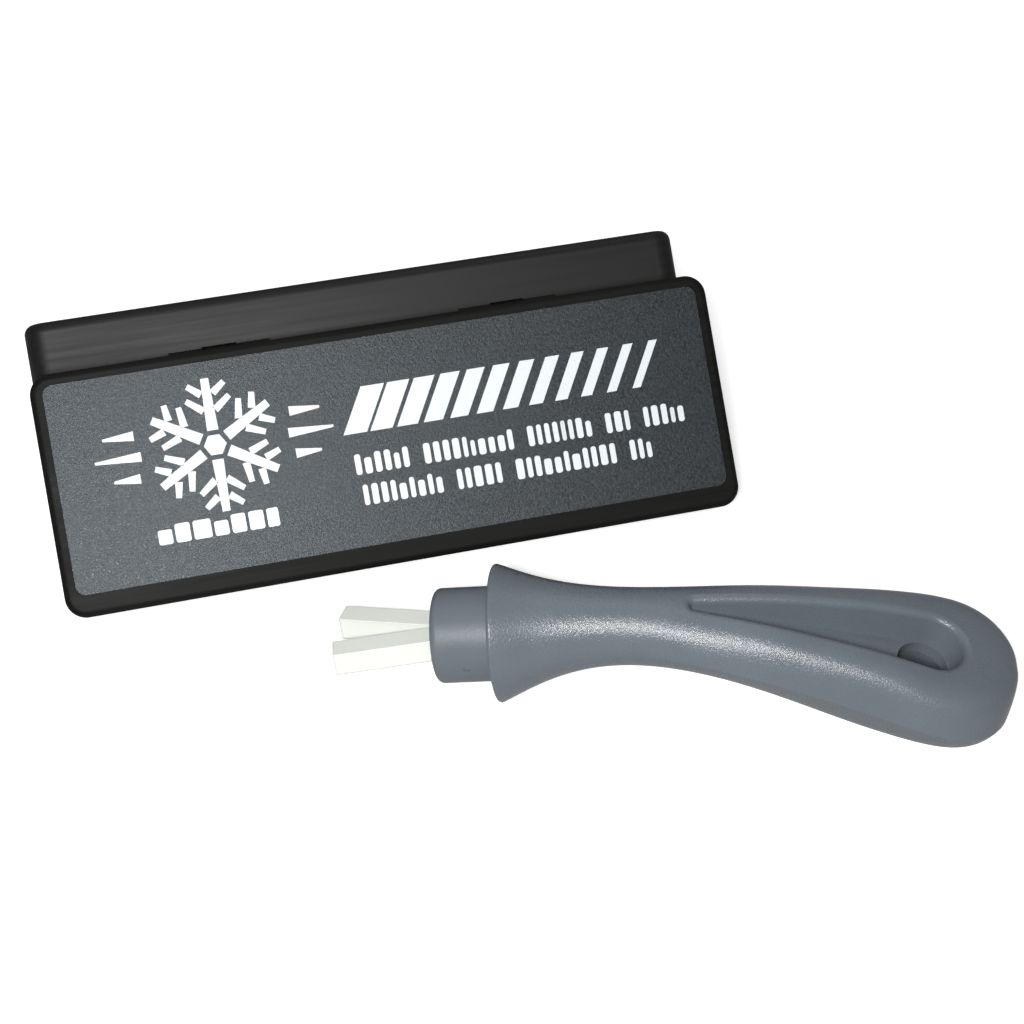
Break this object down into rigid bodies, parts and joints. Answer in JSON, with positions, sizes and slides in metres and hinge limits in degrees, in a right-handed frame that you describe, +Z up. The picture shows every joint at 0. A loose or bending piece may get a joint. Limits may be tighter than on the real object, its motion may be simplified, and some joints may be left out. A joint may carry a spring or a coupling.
{
  "type": "skate sharpener",
  "caption": "Hand skate sharpener: a moulded handle holds ceramic rods in a V, with a hinged foam-lined storage case.",
  "frame": {"origin": "on the ground, in the middle of the whole set's footprint", "axes": "+X along the case hinge, +Z up, the case lid faces -Y"},
  "size_m": [0.2104, 0.1856, 0.0547],
  "materials": {
    "case_plastic": "satin black moulded polypropylene with faint flow streaks",
    "label_film": "sandy charcoal film, finely textured",
    "pin_steel": "drawn wire",
    "foam": "closed-cell charcoal foam, die cut",
    "handle_plastic": "slate grey moulded plastic, fine orange peel",
    "holder_plastic": "slate grey moulded plastic, smooth satin",
    "rod_ceramic": "ground white ceramic"
  },
  "bodies": {
    "base": {"case_base": "case_plastic", "base_foam": "foam", "hinge_pin_left": "pin_steel", "hinge_pin_right": "pin_steel"},
    "lid": {"case_lid": "case_plastic", "label_panel": "label_film", "lid_foam": "foam"},
    "tool": {"handle": "handle_plastic", "rod_holder": "holder_plastic", "ceramic_rod_far": "rod_ceramic", "ceramic_rod_near": "rod_ceramic"}
  },
  "joints": [
    {"name": "lid_hinge", "type": "hinge", "parent": "base", "child": "lid", "pos_m": [-0.02274, 0.04241, 0.04059], "axis": [-1, 0, 0], "range_deg": [-90.5, 87.5]},
    {"name": "tool_lift", "type": "slide", "parent": "base", "child": "tool", "axis": [0, 0, 1], "range_m": [0, 0.12]}
  ]
}
